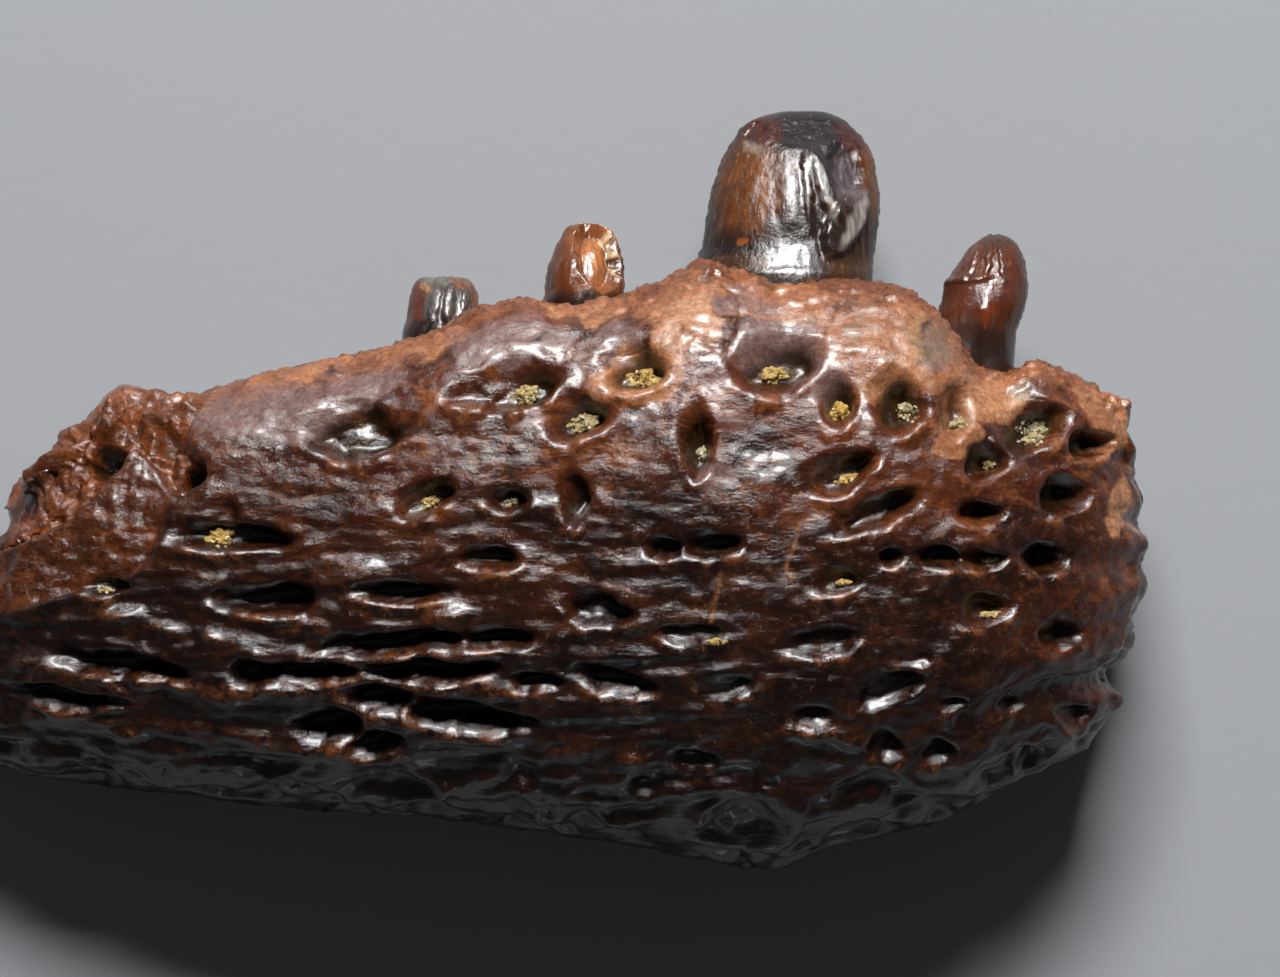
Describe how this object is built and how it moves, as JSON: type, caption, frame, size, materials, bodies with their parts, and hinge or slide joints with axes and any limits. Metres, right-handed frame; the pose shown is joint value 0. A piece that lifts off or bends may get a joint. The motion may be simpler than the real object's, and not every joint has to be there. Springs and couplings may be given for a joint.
{
  "type": "fossil jaw fragment",
  "caption": "Fossil crocodilian lower-jaw fragment with dark glossy pitted bone, blunt teeth in sockets and sand in the pits, lying on its flat inner side.",
  "frame": {"origin": "bottom centre of the bounding box: the middle of the fragment seen from its outer side, on the surface that it lies on", "axes": "+X runs forward to the snout tip, +Y up to the biting edge where the teeth stand, +Z outward from the flat symphysis to the pitted outer side"},
  "size_m": [0.061, 0.038, 0.0175],
  "materials": {
    "bone": "satin",
    "dark_enamel": "polished",
    "amber_enamel": "gloss",
    "sediment": "matte"
  },
  "bodies": {
    "root": {"jaw_bone": "bone", "tooth_large": "dark_enamel", "tooth_stub": "dark_enamel", "tooth_chipped": "amber_enamel", "tooth_peg": "amber_enamel", "sediment_plug_1": "sediment", "sediment_plug_2": "sediment", "sediment_plug_3": "sediment", "sediment_plug_4": "sediment", "sediment_plug_5": "sediment", "sediment_plug_6": "sediment", "sediment_plug_7": "sediment", "sediment_plug_8": "sediment"}
  },
  "joints": []
}
